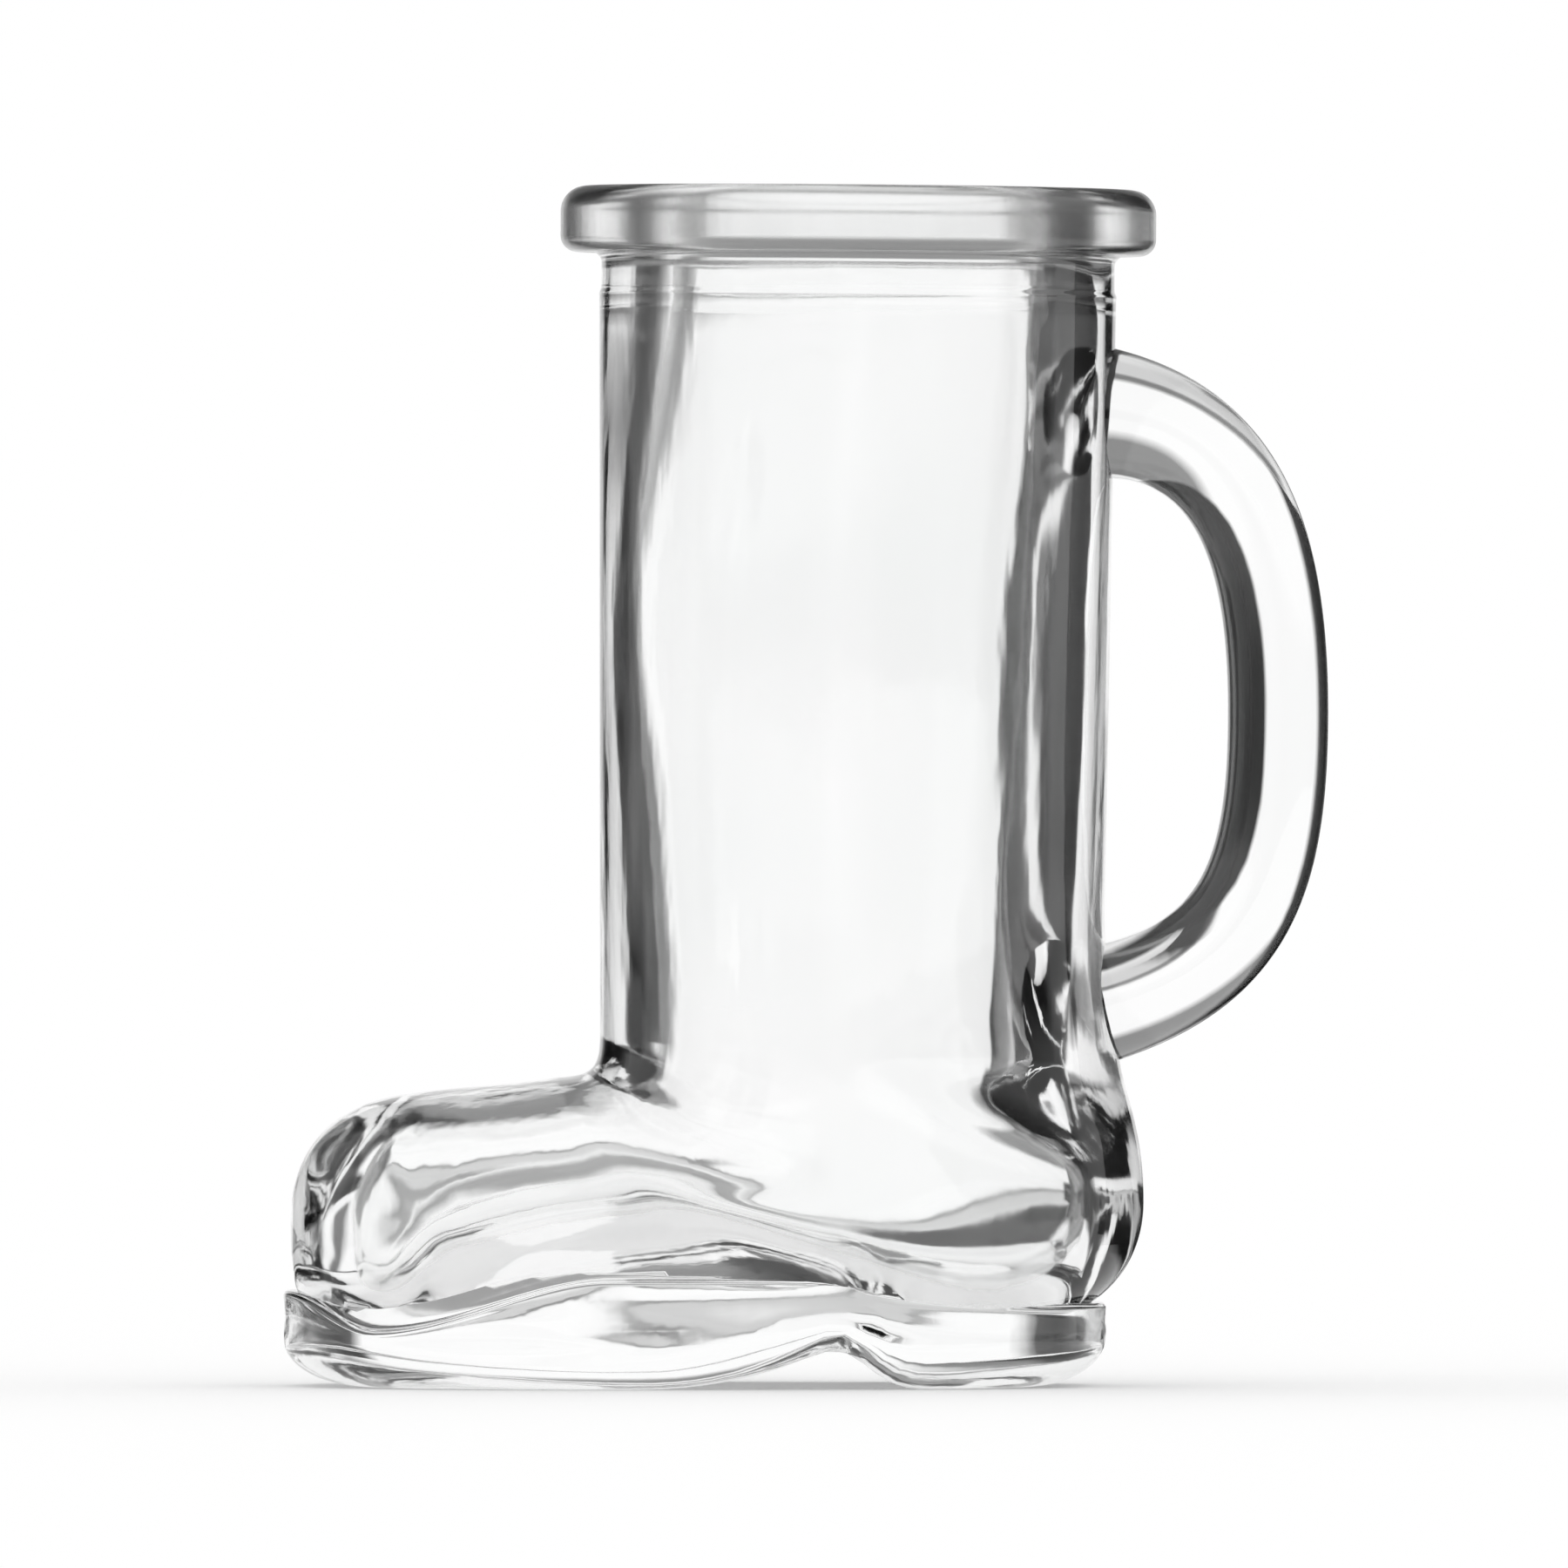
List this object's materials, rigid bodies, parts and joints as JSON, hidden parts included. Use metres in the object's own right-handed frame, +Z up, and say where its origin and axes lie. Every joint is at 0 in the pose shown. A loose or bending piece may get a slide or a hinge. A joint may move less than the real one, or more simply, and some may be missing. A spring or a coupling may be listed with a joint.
{
  "type": "boot shot glass",
  "caption": "Small clear drinking glass in the shape of a boot, with a rolled rim, a hollow foot on a thick sole and heel, and a loop handle on the side opposite the toe.",
  "frame": {"origin": "on the table plane, under the middle of the overall length and width", "axes": "+Z up out of the mouth, +X from the toe towards the handle, +Y across the boot"},
  "size_m": [0.0696, 0.0398, 0.08],
  "materials": {
    "clear_glass": "fire-polished clear soda-lime glass"
  },
  "bodies": {
    "root": {"rim_bead": "clear_glass", "shaft": "clear_glass", "foot": "clear_glass", "sole": "clear_glass", "heel": "clear_glass", "handle": "clear_glass"}
  },
  "joints": []
}
